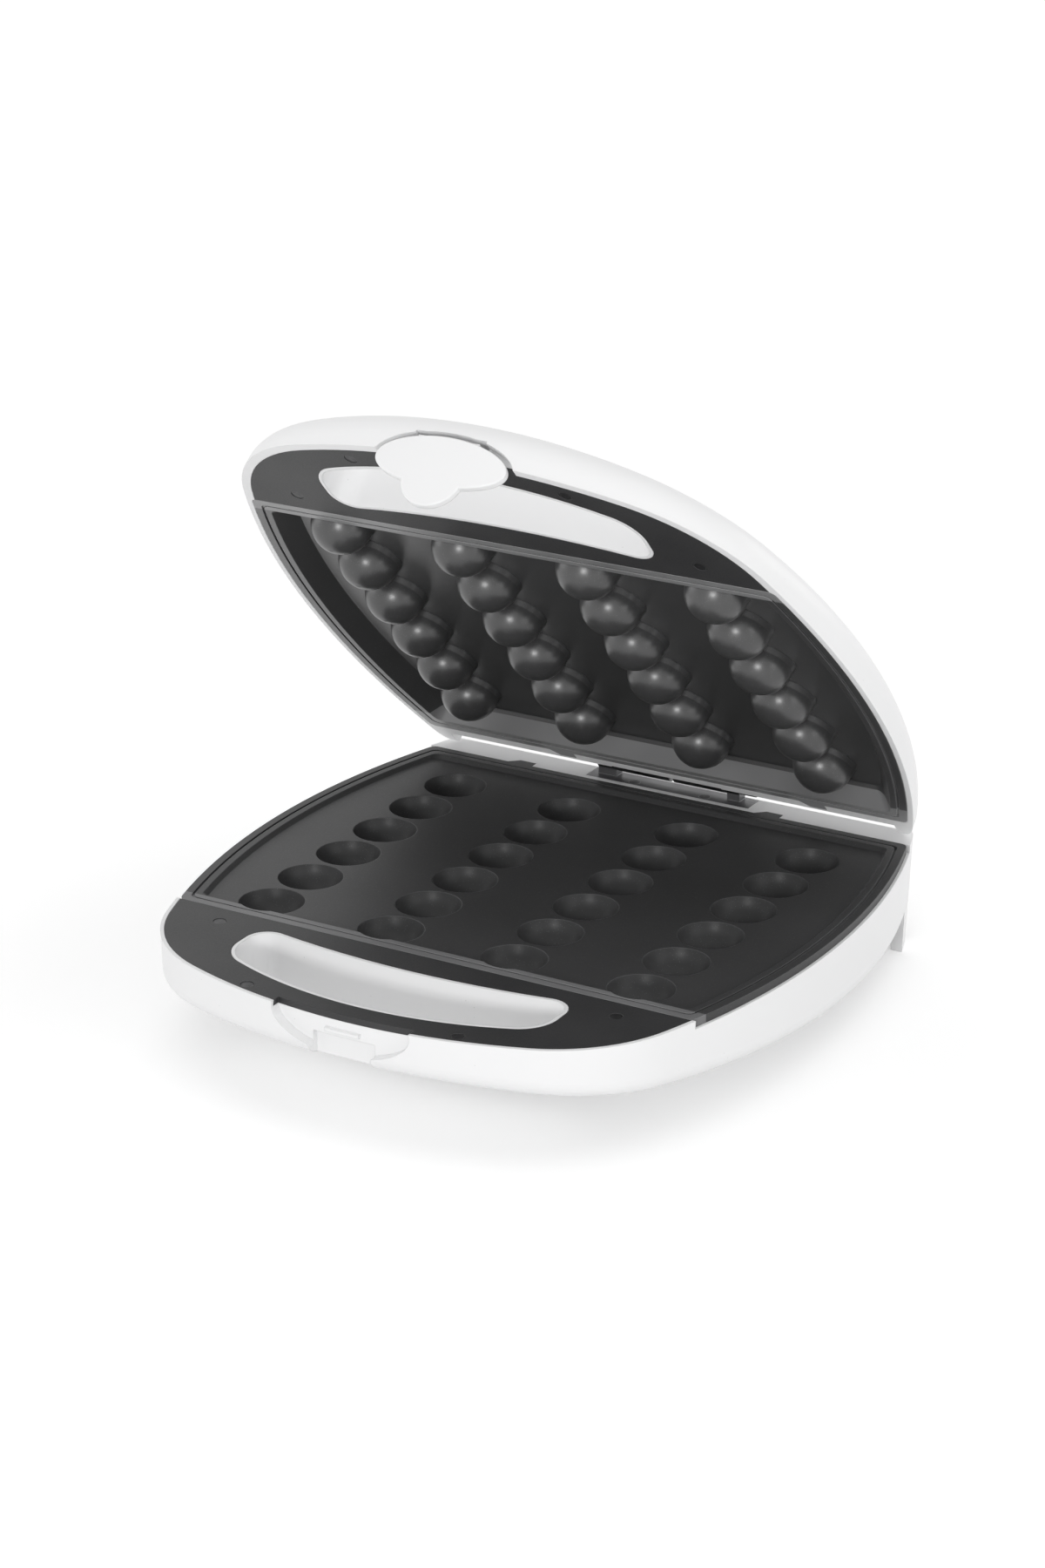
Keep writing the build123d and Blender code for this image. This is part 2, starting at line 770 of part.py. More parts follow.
with BuildPart() as lower_bezel_screws:
    with Locations(*[(x, y, -fit_gap) for x, y in lower_screw_places]):
        rod_down(small_head_radius, small_head_height)
        rod_down(small_screw_radius, small_screw_length)

with BuildPart() as upper_bezel_screws:
    with Locations(*[(x, y, fit_gap) for x, y in upper_screw_places]):
        rod_up(small_head_radius, small_head_height)
        rod_up(small_screw_radius, small_screw_length)

# Heating elements, reflectors and controls


def element_at(height):
    # A tube bent round under the cups, open at the rear, with a terminal pin in each end
    with BuildPart() as element:
        with BuildLine() as path:
            FilletPolyline(
                (-element_gap / 2, element_rear, height),
                (-element_half_width, element_rear, height),
                (-element_half_width, element_front, height),
                (element_half_width, element_front, height),
                (element_half_width, element_rear, height),
                (element_gap / 2, element_rear, height),
                radius=element_bend,
            )
        with BuildSketch(Plane(path.line @ 0, z_dir=path.line % 0)):
            Circle(element_radius)
        sweep()
        for side in (-1, 1):
            start = side * element_gap / 2
            rod_across(
                terminal_radius, min(start, start - side * terminal_length),
                max(start, start - side * terminal_length), element_rear, height,
            )
    return element.part


with BuildPart() as lower_heating_element:
    add(element_at(lower_element_z))

with BuildPart() as upper_heating_element:
    add(element_at(upper_element_z))

with BuildPart() as lower_reflector:
    with BuildSketch(Plane.XY.offset(lower_reflector_z - reflector_thick)):
        add(reflector_face())
    extrude(amount=reflector_thick)

with BuildPart() as upper_reflector:
    with BuildSketch(Plane.XY.offset(upper_reflector_z)):
        add(reflector_face())
        with Locations((0, middle_row)):
            Circle(thermostat_radius + thermostat_room, mode=Mode.SUBTRACT)
    extrude(amount=reflector_thick)

with BuildPart() as lower_reflector_screws:
    with Locations(*[(x, y, lower_reflector_z - reflector_thick) for x, y in reflector_screw_places]):
        rod_down(large_head_radius, large_head_height)
        rod_up(large_screw_radius, large_screw_length)

with BuildPart() as upper_reflector_screws:
    with Locations(*[(x, y, upper_reflector_z + reflector_thick) for x, y in reflector_screw_places]):
        rod_up(large_head_radius, large_head_height)
        rod_down(large_screw_radius, large_screw_length)

with BuildPart() as thermostat:
    with Locations((0, middle_row, upper_back + seat_gap)):
        rod_up(thermostat_radius, thermostat_height)
        with Locations((0, 0, thermostat_height)):
            Box(
                thermostat_radius, thermostat_radius / 2, thermostat_stem,
                align=(Align.CENTER, Align.CENTER, Align.MIN),
            )

with BuildPart() as thermal_fuse:
    rod_across(
        fuse_radius, -fuse_length / 2, fuse_length / 2, controls_y, upper_back + seat_gap + fuse_radius,
    )

with BuildPart() as terminal_block:
    with Locations((0, block_y, wall + seat_gap - tub_depth)):
        Box(block_width, block_length, block_height, align=(Align.CENTER, Align.CENTER, Align.MIN))
        with Locations((0, 0, block_height)):
            with GridLocations(block_width / 3, block_length / 2, 3, 2):
                rod_down(terminal_radius, block_height / 3, Mode.SUBTRACT)

# Hinge: knuckles on the base, two barrels on the lid, one pin

with BuildPart() as hinge_bracket:
    box_between((-leaf_half_width, leaf_front, -leaf_thick), (leaf_half_width, leaf_rear, 0))
    for start, end in (
        (-barrel_outer - knuckle_gap - left_knuckle, -barrel_outer - knuckle_gap),
        (barrel_outer + knuckle_gap, barrel_outer + knuckle_gap + right_knuckle),
    ):
        rod_across(knuckle_radius, start, end, hinge_y, hinge_height)
        box_between((start, hinge_y - knuckle_foot, -leaf_thick), (end, leaf_rear, hinge_height))
    rod_across(pin_radius + pin_press, -reach / 2, reach / 2, hinge_y, hinge_height, Mode.SUBTRACT)
    with Locations((-leaf_screw_x, leaf_screw_y, 0), (leaf_screw_x, leaf_screw_y, 0)):
        CounterBoreHole(
            small_screw_radius + pilot_clearance, small_head_radius + pilot_clearance,
            small_head_height, depth=leaf_thick,
        )

with BuildPart() as hinge_bracket_screws:
    with Locations((-leaf_screw_x, leaf_screw_y, 0), (leaf_screw_x, leaf_screw_y, 0)):
        rod_down(small_head_radius, small_head_height)
        rod_down(small_screw_radius, small_screw_length)

pin_left = -barrel_outer - knuckle_gap - left_knuckle
pin_right = barrel_outer + knuckle_gap + right_knuckle

with BuildPart() as hinge_pin:
    rod_across(pin_radius, pin_left - seat_gap, pin_right + pin_in_cap, hinge_y, hinge_height)
    rod_across(
        pin_head_radius, pin_left - seat_gap - pin_head_thick, pin_left - seat_gap, hinge_y, hinge_height,
    )

with BuildPart() as hinge_pin_cap:
    rod_across(
        pin_cap_radius, pin_right + seat_gap, pin_right + seat_gap + pin_cap_length, hinge_y, hinge_height,
    )
    rod_across(
        pin_radius + pin_press, pin_right, pin_right + pin_in_cap + seat_gap, hinge_y, hinge_height,
        Mode.SUBTRACT,
    )

with BuildPart() as hinge_leaf:
    for start, end in ((-barrel_outer, -barrel_inner), (barrel_inner, barrel_outer)):
        rod_across(knuckle_radius, start, end, hinge_y, nose_radius)
    box_between(
        (-barrel_outer, leaf_face, nose_radius),
        (barrel_outer, leaf_face + leaf_thick, barrel_leaf_height),
    )
    box_between(
        (-barrel_inner, leaf_face - leaf_thick, nose_radius - knuckle_radius),
        (barrel_inner, upper_rear, nose_radius + knuckle_radius), Mode.SUBTRACT,
    )
    rod_across(pin_radius + pin_clearance, -reach / 2, reach / 2, hinge_y, nose_radius, Mode.SUBTRACT)
    for x in (-barrel_screw_x, barrel_screw_x):
        rod_along(
            large_screw_radius + fit_gap, leaf_face - leaf_thick, leaf_face + 2 * leaf_thick,
            x, barrel_screw_height, Mode.SUBTRACT,
        )

with BuildPart() as hinge_leaf_screws:
    for x in (-barrel_screw_x, barrel_screw_x):
        rod_along(
            large_head_radius, leaf_face - seat_gap - large_head_height, leaf_face - seat_gap,
            x, barrel_screw_height,
        )
        rod_along(
            large_screw_radius, leaf_face - seat_gap, leaf_face - seat_gap + large_screw_length,
            x, barrel_screw_height,
        )

# Latch

with BuildPart() as latch:
    with BuildSketch(Plane.XZ.offset(front_reach / 2)):
        add(latch_face(0))
    extrude(amount=front_reach)
    with Locations((0, front_centre, 0)):
        Cylinder(pad_outer, front_reach, mode=Mode.INTERSECT)
        Cylinder(pad_inner, front_reach, mode=Mode.SUBTRACT)
    fillet(latch.faces().sort_by(Axis.Y)[0].edges(), latch_edge)
    for start in (-latch_lug_inner - latch_lug_length, latch_lug_inner):
        rod_across(latch_lug_radius, start, start + latch_lug_length, -pivot_reach, pivot_height)
        box_between(
            (start, -pad_back - latch_thick / 2, pivot_height - latch_lug_radius),
            (start + latch_lug_length, -pivot_reach, pivot_height + latch_lug_radius),
        )
    rod_across(latch_pin_radius + pin_clearance, -reach / 2, reach / 2, -pivot_reach, pivot_height, Mode.SUBTRACT)
    box_between(
        (-hook_half_width, -pad_back - latch_thick / 2, hook_top - hook_height),
        (hook_half_width, -pad_back + hook_length, hook_top),
    )

with BuildPart() as latch_pin:
    rod_across(latch_pin_radius, -latch_pin_half_length, latch_pin_half_length, -pivot_reach, pivot_height)

# Feet, cord inlet and lamps

with BuildPart() as front_feet:
    with Locations((-foot_x, foot_y, -rest_height), (foot_x, foot_y, -rest_height)):
        rod_up(foot_radius, rest_height - tub_depth + foot_seat - seat_gap)

with BuildPart() as cord_gland:
    rod_along(gland_body, plate_depth, gland_boss_rear, gland_x, -gland_drop)
    rod_along(
        gland_nut, gland_boss_rear + seat_gap, gland_boss_rear + seat_gap + gland_nut_thick,
        gland_x, -gland_drop,
    )
    rod_along(gland_body, plate_depth, gland_boss_rear + gland_collar, gland_x, -gland_drop)
    rod_along(gland_bore, 0, reach, gland_x, -gland_drop, Mode.SUBTRACT)


def lamp_at(x):
    with BuildPart() as lamp:
        with Locations((x, lamp_y, lamp_z + lamp_proud)):
            rod_down(lamp_radius, lamp_length)
        fillet(lamp.faces().sort_by(Axis.Z)[-1].edges(), lamp_proud)
        with Locations((x, lamp_y, lamp_z + lamp_proud - lamp_length)):
            rod_up(lamp_flange, lamp_flange_thick)
    return lamp.part


with BuildPart() as power_lamp:
    add(lamp_at(-lamp_x))

with BuildPart() as ready_lamp:
    add(lamp_at(lamp_x))

# The rest pose

base_pieces = {
    "lower_housing": lower_housing,
    "lower_bezel": lower_bezel,
    "lower_bezel_screws": lower_bezel_screws,
    "lower_plate": lower_plate,
    "lower_heating_element": lower_heating_element,
    "lower_reflector": lower_reflector,
    "lower_reflector_screws": lower_reflector_screws,
    "terminal_block": terminal_block,
    "cord_gland": cord_gland,
    "front_feet": front_feet,
    "hinge_bracket": hinge_bracket,
    "hinge_bracket_screws": hinge_bracket_screws,
    "hinge_pin": hinge_pin,
    "hinge_pin_cap": hinge_pin_cap,
}
lid_pieces = {
    "upper_housing": upper_housing,
    "upper_bezel": upper_bezel,
    "upper_bezel_screws": upper_bezel_screws,
    "upper_plate": upper_plate,
    "upper_domes": upper_domes,
    "upper_heating_element": upper_heating_element,
    "upper_reflector": upper_reflector,
    "upper_reflector_screws": upper_reflector_screws,
    "thermostat": thermostat,
    "thermal_fuse": thermal_fuse,
    "hinge_leaf": hinge_leaf,
    "hinge_leaf_screws": hinge_leaf_screws,
    "power_lamp": power_lamp,
    "ready_lamp": ready_lamp,
    "latch_pin": latch_pin,
    "latch": latch,
}

hinge_line = Location((0, hinge_y, hinge_height))
swing = hinge_line * Location((0, 0, 0), (-open_at_rest, 0, 0)) * hinge_line.inverse()
opened = swing * Location((0, 0, closed_gap))

front_most = lower_housing.part.bounding_box().min.Y
rear_most = upper_housing.part.moved(opened).bounding_box().max.Y
to_table = Location((0, -(front_most + rear_most) / 2, rest_height))


def write(name, piece, place):
    piece.part = piece.part.moved(place)
    piece.part.label = name
    export_step(piece.part, f"parts/{name}.step")


for name, piece in base_pieces.items():
    write(name, piece, to_table)
for name, piece in lid_pieces.items():
    write(name, piece, to_table * opened)

hinge_axis = to_table * Location((0, hinge_y, hinge_height))
latch_axis = to_table * opened * Location((0, -pivot_reach, pivot_height))
print("lid hinge at", hinge_axis.position, "latch pivot at", latch_axis.position)
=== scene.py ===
import bpy
import bmesh
from math import radians
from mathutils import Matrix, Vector

# Maamoul maker, lid part open. Everything is in metres, in the frame's own coordinates:
# front with the grips towards -Y, hinge towards +Y, table at z = 0.

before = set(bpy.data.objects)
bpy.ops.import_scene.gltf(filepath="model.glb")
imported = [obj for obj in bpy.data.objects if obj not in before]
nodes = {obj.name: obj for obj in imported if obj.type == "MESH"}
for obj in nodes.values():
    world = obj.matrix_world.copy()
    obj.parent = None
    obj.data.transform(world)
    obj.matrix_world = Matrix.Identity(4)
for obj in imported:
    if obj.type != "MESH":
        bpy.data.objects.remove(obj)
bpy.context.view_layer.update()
scene = bpy.context.scene


# Small helpers

def newMaterial(name):
    material = bpy.data.materials.new(name)
    material.use_nodes = True
    return material, material.node_tree, material.node_tree.nodes["Principled BSDF"]


def addNode(tree, kind, **settings):
    node = tree.nodes.new(kind)
    for key, value in settings.items():
        setattr(node, key, value)
    return node


def connect(tree, fromSocket, toSocket):
    tree.links.new(fromSocket, toSocket)


def grey(level):
    return (level, level, level, 1)


def rampBetween(tree, source, stops, lowColor, highColor):
    # a colour ramp with two stops, fed by source
    ramp = addNode(tree, "ShaderNodeValToRGB")
    for element, position, color in zip(ramp.color_ramp.elements, stops, (lowColor, highColor)):
        element.position = position
        element.color = color
    connect(tree, source, ramp.inputs["Fac"])
    return ramp.outputs["Color"]


def greyBetween(tree, source, stops, levels):
    return rampBetween(tree, source, stops, grey(levels[0]), grey(levels[1]))


def mathNode(tree, operation, first, second, clamp=False):
    # each input is a number or a socket
    node = addNode(tree, "ShaderNodeMath", operation=operation, use_clamp=clamp)
    for socket, value in zip(node.inputs, (first, second)):
        if isinstance(value, (int, float)):
            socket.default_value = value
        else:
            connect(tree, value, socket)
    return node.outputs[0]


def mixColor(tree, factor, first, second):
    # second shows where factor is 1
    node = addNode(tree, "ShaderNodeMix", data_type="RGBA")
    sockets = {node.inputs[0]: factor, node.inputs[6]: first, node.inputs[7]: second}
    for socket, value in sockets.items():
        if hasattr(value, "is_output"):
            connect(tree, value, socket)
        else:
            socket.default_value = value
    return node.outputs[2]


def assign(material, *names):
    for name in names:
        slots = nodes[name].data.materials
        slots.clear()
        slots.append(material)


# Shared effects

def newGroup(name, inputs, outputs):
    # inputs: (socket name, kind, default), outputs: (socket name, kind)
    tree = bpy.data.node_groups.new(name, "ShaderNodeTree")
    for socketName, kind, default in inputs:
        socket = tree.interface.new_socket(socketName, in_out="INPUT", socket_type=kind)
        socket.default_value = default
    for socketName, kind in outputs:
        tree.interface.new_socket(socketName, in_out="OUTPUT", socket_type=kind)
    return tree, addNode(tree, "NodeGroupInput"), addNode(tree, "NodeGroupOutput")


def buildRoundedEdges():
    # softens the moulded edges and tells how near a point is to one
    bevelSamples = 6
    tree, given, result = newGroup(
        "roundedEdges",
        [("Radius", "NodeSocketFloat", 0.0005), ("Reach", "NodeSocketFloat", 3.0)],
        [("Normal", "NodeSocketVector"), ("Edge", "NodeSocketFloat")],
    )
    bevel = addNode(tree, "ShaderNodeBevel", samples=bevelSamples)
    geometry = addNode(tree, "ShaderNodeNewGeometry")
    facing = addNode(tree, "ShaderNodeVectorMath", operation="DOT_PRODUCT")
    connect(tree, given.outputs["Radius"], bevel.inputs["Radius"])
    connect(tree, bevel.outputs["Normal"], facing.inputs[0])
    connect(tree, geometry.outputs["Normal"], facing.inputs[1])
    away = mathNode(tree, "SUBTRACT", 1.0, facing.outputs["Value"])
    edge = mathNode(tree, "MULTIPLY", away, given.outputs["Reach"], clamp=True)
    connect(tree, bevel.outputs["Normal"], result.inputs["Normal"])
    connect(tree, edge, result.inputs["Edge"])
    return tree


def buildMouldGrain():
    # fine moulded or cast texture, with a slow change of tone across the piece
    settings = {"fineDetail": 3.0, "fineRoughness": 0.6, "slowDetail": 2.0}
    tree, given, result = newGroup(
        "mouldGrain",
        [("Fine Scale", "NodeSocketFloat", 2200.0), ("Slow Scale", "NodeSocketFloat", 14.0)],
        [("Height", "NodeSocketFloat"), ("Tone", "NodeSocketFloat")],
    )
    place = addNode(tree, "ShaderNodeTexCoord")
    fine = addNode(tree, "ShaderNodeTexNoise")
    fine.inputs["Detail"].default_value = settings["fineDetail"]
    fine.inputs["Roughness"].default_value = settings["fineRoughness"]
    slow = addNode(tree, "ShaderNodeTexNoise")
    slow.inputs["Detail"].default_value = settings["slowDetail"]
    for noise, scale in ((fine, "Fine Scale"), (slow, "Slow Scale")):
        connect(tree, place.outputs["Object"], noise.inputs["Vector"])
        connect(tree, given.outputs[scale], noise.inputs["Scale"])
    connect(tree, fine.outputs["Fac"], result.inputs["Height"])
    connect(tree, slow.outputs["Fac"], result.inputs["Tone"])
    return tree


def buildSpecks():
    # scattered small specks, such as settled dust or flakes in a coating
    tree, given, result = newGroup(
        "specks",
        [("Scale", "NodeSocketFloat", 900.0), ("Size", "NodeSocketFloat", 0.12),
         ("Amount", "NodeSocketFloat", 0.3)],
        [("Mask", "NodeSocketFloat")],
    )
    place = addNode(tree, "ShaderNodeTexCoord")
    cells = addNode(tree, "ShaderNodeTexVoronoi", feature="F1")
    connect(tree, place.outputs["Object"], cells.inputs["Vector"])
    connect(tree, given.outputs["Scale"], cells.inputs["Scale"])
    inside = mathNode(tree, "LESS_THAN", cells.outputs["Distance"], given.outputs["Size"])
    split = addNode(tree, "ShaderNodeSeparateColor")
    connect(tree, cells.outputs["Color"], split.inputs["Color"])
    chosen = mathNode(tree, "LESS_THAN", split.outputs["Red"], given.outputs["Amount"])
    connect(tree, mathNode(tree, "MULTIPLY", inside, chosen), result.inputs["Mask"])
    return tree


def buildPaintedSheenBands():
    # marks what lies in front of Front or behind Rear, measured along a plate's own length: where
    # the painted sheen goes
    tree, given, result = newGroup(
        "paintedSheenBands",
        [("Along", "NodeSocketVector", (0.0, 1.0, 0.0)), ("Front", "NodeSocketFloat", 0.0),
         ("Rear", "NodeSocketFloat", 1.0)],
        [("Mask", "NodeSocketFloat")],
    )
    place = addNode(tree, "ShaderNodeTexCoord")
    along = addNode(tree, "ShaderNodeVectorMath", operation="DOT_PRODUCT")
    connect(tree, place.outputs["Object"], along.inputs[0])
    connect(tree, given.outputs["Along"], along.inputs[1])
    front = mathNode(tree, "LESS_THAN", along.outputs["Value"], given.outputs["Front"])
    rear = mathNode(tree, "GREATER_THAN", along.outputs["Value"], given.outputs["Rear"])
    connect(tree, mathNode(tree, "MAXIMUM", front, rear), result.inputs["Mask"])
    return tree


roundedEdges = buildRoundedEdges()
mouldGrain = buildMouldGrain()
specks = buildSpecks()
paintedSheenBands = buildPaintedSheenBands()
print("shared effects ready")


def useGroup(tree, group, values):
    node = addNode(tree, "ShaderNodeGroup", node_tree=group)
    for socketName, value in values.items():
        node.inputs[socketName].default_value = value
    return node


def bumpOver(tree, height, relief, normal):
    # relief: (strength, distance in metres)
    bump = addNode(tree, "ShaderNodeBump")
    bump.inputs["Strength"].default_value, bump.inputs["Distance"].default_value = relief
    connect(tree, height, bump.inputs["Height"])
    connect(tree, normal, bump.inputs["Normal"])
    return bump.outputs["Normal"]


# Materials

def buildWhitePlastic():
    settings = {
        "base": (0.86, 0.86, 0.863, 1), "tint": (0.83, 0.831, 0.835, 1), "dusty": grey(0.62),
        "toneStops": (0.15, 0.85), "rough": (0.34, 0.43), "edgeRough": grey(0.3),
        "relief": (0.35, 0.00002), "ior": 1.5,
        "grain": {"Fine Scale": 1500.0, "Slow Scale": 7.0},
        "edges": {"Radius": 0.0007, "Reach": 2.5},
        "dust": {"Scale": 260.0, "Size": 0.06, "Amount": 0.14},
    }
    material, tree, shader = newMaterial("whitePlastic")
    grain = useGroup(tree, mouldGrain, settings["grain"])
    edges = useGroup(tree, roundedEdges, settings["edges"])
    dust = useGroup(tree, specks, settings["dust"])
    tone = rampBetween(
        tree, grain.outputs["Tone"], settings["toneStops"], settings["tint"], settings["base"])
    dusted = mixColor(tree, dust.outputs["Mask"], tone, settings["dusty"])
    rough = greyBetween(tree, grain.outputs["Tone"], settings["toneStops"], settings["rough"])
    worn = mixColor(tree, edges.outputs["Edge"], rough, settings["edgeRough"])
    normal = bumpOver(tree, grain.outputs["Height"], settings["relief"], edges.outputs["Normal"])
    connect(tree, dusted, shader.inputs["Base Color"])
    connect(tree, worn, shader.inputs["Roughness"])
    connect(tree, normal, shader.inputs["Normal"])
    shader.inputs["IOR"].default_value = settings["ior"]
    return material


def buildBezelPlastic():
    settings = {
        "base": (0.030, 0.030, 0.031, 1), "tint": (0.040, 0.040, 0.041, 1),
        "rub": (0.085, 0.085, 0.086, 1), "stops": (0.3, 0.7), "rough": (0.40, 0.52),
        "relief": (0.5, 0.00006), "gloss": 0.32,
        "grain": {"Fine Scale": 1900.0, "Slow Scale": 22.0},
        "edges": {"Radius": 0.0004, "Reach": 2.0},
    }
    material, tree, shader = newMaterial("bezelPlastic")
    grain = useGroup(tree, mouldGrain, settings["grain"])
    edges = useGroup(tree, roundedEdges, settings["edges"])
    tone = rampBetween(
        tree, grain.outputs["Tone"], settings["stops"], settings["base"], settings["tint"])
    wearAndSheen = mixColor(tree, edges.outputs["Edge"], tone, settings["rub"])
    rough = greyBetween(tree, grain.outputs["Height"], settings["stops"], settings["rough"])
    normal = bumpOver(tree, grain.outputs["Height"], settings["relief"], edges.outputs["Normal"])
    connect(tree, wearAndSheen, shader.inputs["Base Color"])
    connect(tree, rough, shader.inputs["Roughness"])
    connect(tree, normal, shader.inputs["Normal"])
    shader.inputs["Specular IOR Level"].default_value = settings["gloss"]
    return material


def buildNonStick(name, plate):
    # dark coating with flakes, with painted sheen, a lighter colour standing in for reflected
    # light, along the plate's straight front and rear
    settings = {
        "base": (0.046, 0.046, 0.0465, 1), "tint": (0.055, 0.055, 0.056, 1),
        "flake": (0.085, 0.085, 0.088, 1), "worn": (0.15, 0.15, 0.155, 1),
        "toneStops": (0.3, 0.7), "sheenAndRoughStops": (0.25, 0.75), "relief": (0.06, 0.00002),
        "grain": {"Fine Scale": 1300.0, "Slow Scale": 16.0},
        "edges": {"Radius": 0.0006, "Reach": 2.2},
        "flakes": {"Scale": 1500.0, "Size": 0.3, "Amount": 0.16},
    }
    material, tree, shader = newMaterial(name)
    grain = useGroup(tree, mouldGrain, settings["grain"])
    edges = useGroup(tree, roundedEdges, settings["edges"])
    flakes = useGroup(tree, specks, settings["flakes"])
    wearAndSheen = useGroup(tree, paintedSheenBands, plate["bands"])
    tone = rampBetween(
        tree, grain.outputs["Tone"], settings["toneStops"], settings["base"], settings["tint"])
    flaked = mixColor(tree, flakes.outputs["Mask"], tone, settings["flake"])
    # the bars' lighter colour is painted sheen, standing in for reflected light
    sheenColor = rampBetween(
        tree, grain.outputs["Tone"], settings["sheenAndRoughStops"], plate["dark"], plate["light"])
    withSheen = mixColor(tree, wearAndSheen.outputs["Mask"], flaked, sheenColor)
    # edges are lighter from wear, and on the bars brighter still as a painted highlight
    edgeWearAndSheen = mixColor(tree, wearAndSheen.outputs["Mask"], settings["worn"], plate["edge"])
    edged = mixColor(tree, edges.outputs["Edge"], withSheen, edgeWearAndSheen)
    rough = greyBetween(tree, grain.outputs["Height"], settings["sheenAndRoughStops"], plate["rough"])
    normal = bumpOver(tree, grain.outputs["Height"], settings["relief"], edges.outputs["Normal"])
    connect(tree, edged, shader.inputs["Base Color"])
    connect(tree, rough, shader.inputs["Roughness"])
    connect(tree, normal, shader.inputs["Normal"])
    shader.inputs["Specular IOR Level"].default_value = plate["gloss"]
    return material


def buildMetal(name, metal):
    # brushed or stained metal with brighter edges, brush sets how the lines are stretched
    settings = {
        "lineScale": 60.0, "lineDetail": 5.0, "stops": (0.3, 0.7), "relief": (0.3, 0.00003),
        "grain": {"Fine Scale": 800.0, "Slow Scale": 45.0},
        "edges": {"Radius": 0.0003, "Reach": 2.5},
    }
    material, tree, shader = newMaterial(name)
    place = addNode(tree, "ShaderNodeTexCoord")
    stretch = addNode(tree, "ShaderNodeMapping")
    stretch.inputs["Scale"].default_value = metal["brush"]
    connect(tree, place.outputs["Object"], stretch.inputs["Vector"])
    lines = addNode(tree, "ShaderNodeTexNoise")
    lines.inputs["Scale"].default_value = settings["lineScale"]
    lines.inputs["Detail"].default_value = settings["lineDetail"]
    connect(tree, stretch.outputs["Vector"], lines.inputs["Vector"])
    grain = useGroup(tree, mouldGrain, settings["grain"])
    edges = useGroup(tree, roundedEdges, settings["edges"])
    tone = rampBetween(
        tree, grain.outputs["Tone"], settings["stops"], metal["dark"], metal["light"])
    edged = mixColor(tree, edges.outputs["Edge"], tone, metal["edge"])
    rough = greyBetween(tree, lines.outputs["Fac"], settings["stops"], metal["rough"])
    normal = bumpOver(tree, lines.outputs["Fac"], settings["relief"], edges.outputs["Normal"])
    connect(tree, edged, shader.inputs["Base Color"])
    connect(tree, rough, shader.inputs["Roughness"])
    connect(tree, normal, shader.inputs["Normal"])
    shader.inputs["Metallic"].default_value = metal["metallic"]
    return material


def buildPlain(name, stuff):
    # rubber, ceramic, lens and small moulded parts, depth is the grain's height in metres
    settings = {
        "slowScale": 60.0, "stops": (0.3, 0.7), "strength": 0.4,
        "edges": {"Radius": 0.0003, "Reach": 2.0},
    }
    material, tree, shader = newMaterial(name)
    grain = useGroup(
        tree, mouldGrain, {"Fine Scale": stuff["scale"], "Slow Scale": settings["slowScale"]})
    edges = useGroup(tree, roundedEdges, settings["edges"])
    tone = rampBetween(
        tree, grain.outputs["Tone"], settings["stops"], stuff["dark"], stuff["light"])
    rough = greyBetween(tree, grain.outputs["Height"], settings["stops"], stuff["rough"])
    relief = (settings["strength"], stuff["depth"])
    normal = bumpOver(tree, grain.outputs["Height"], relief, edges.outputs["Normal"])
    connect(tree, tone, shader.inputs["Base Color"])
    connect(tree, rough, shader.inputs["Roughness"])
    connect(tree, normal, shader.inputs["Normal"])
    shader.inputs["Coat Weight"].default_value = stuff["coat"]
    return material


assign(buildWhitePlastic(), "lower_housing", "upper_housing", "latch")
assign(buildBezelPlastic(), "lower_bezel", "upper_bezel")

# The lower plate carries the painted sheen only in front, its rear edge and lugs stay dark. The
# upper plate's length runs along its own slope at rest, and both its straight bars carry the
# painted sheen.
assign(buildNonStick("lowerCoating", {
    "bands": {"Along": (0.0, 1.0, 0.0), "Front": -0.0832, "Rear": 0.2},
    # dark, light and edge are the painted sheen's colours, lighter than the coating to stand in
    # for reflected light
    "dark": (0.14, 0.14, 0.142, 1), "light": (0.2, 0.2, 0.203, 1),
    "edge": (0.38, 0.38, 0.385, 1), "rough": (0.36, 0.44), "gloss": 0.22,
}), "lower_plate")
assign(buildNonStick("upperCoating", {
    "bands": {"Along": (0.0, 0.6921, -0.7218), "Front": -0.1760, "Rear": 0.0305},
    "dark": (0.13, 0.13, 0.132, 1), "light": (0.26, 0.26, 0.263, 1),
    "edge": (0.5, 0.5, 0.505, 1), "rough": (0.3, 0.31), "gloss": 0.8,
}), "upper_plate", "upper_domes")

assign(buildMetal("hingeSteel", {
    "dark": (0.13, 0.13, 0.134, 1), "light": (0.2, 0.2, 0.204, 1), "edge": (0.5, 0.5, 0.51, 1),
    "rough": (0.3, 0.46), "brush": (0.6, 22.0, 22.0), "metallic": 1.0,
}), "hinge_bracket", "hinge_leaf", "hinge_pin", "latch_pin")
assign(buildMetal("blackenedScrews", {
    "dark": (0.05, 0.05, 0.052, 1), "light": (0.09, 0.09, 0.092, 1),
    "edge": (0.45, 0.45, 0.45, 1),
    "rough": (0.34, 0.5), "brush": (8.0, 8.0, 8.0), "metallic": 0.85,
}), "lower_bezel_screws", "upper_bezel_screws", "hinge_bracket_screws", "hinge_leaf_screws",
    "lower_reflector_screws", "upper_reflector_screws")
assign(buildMetal("elementTube", {
    "dark": (0.14, 0.12, 0.11, 1), "light": (0.24, 0.22, 0.2, 1), "edge": (0.3, 0.28, 0.26, 1),
    "rough": (0.45, 0.62), "brush": (3.0, 3.0, 3.0), "metallic": 0.9,
}), "lower_heating_element", "upper_heating_element")
assign(buildMetal("reflectorSheet", {
    "dark": (0.72, 0.72, 0.73, 1), "light": (0.82, 0.82, 0.83, 1), "edge": (0.9, 0.9, 0.9, 1),
    "rough": (0.2, 0.34), "brush": (0.5, 16.0, 16.0), "metallic": 1.0,
}), "lower_reflector", "upper_reflector", "thermostat", "thermal_fuse")

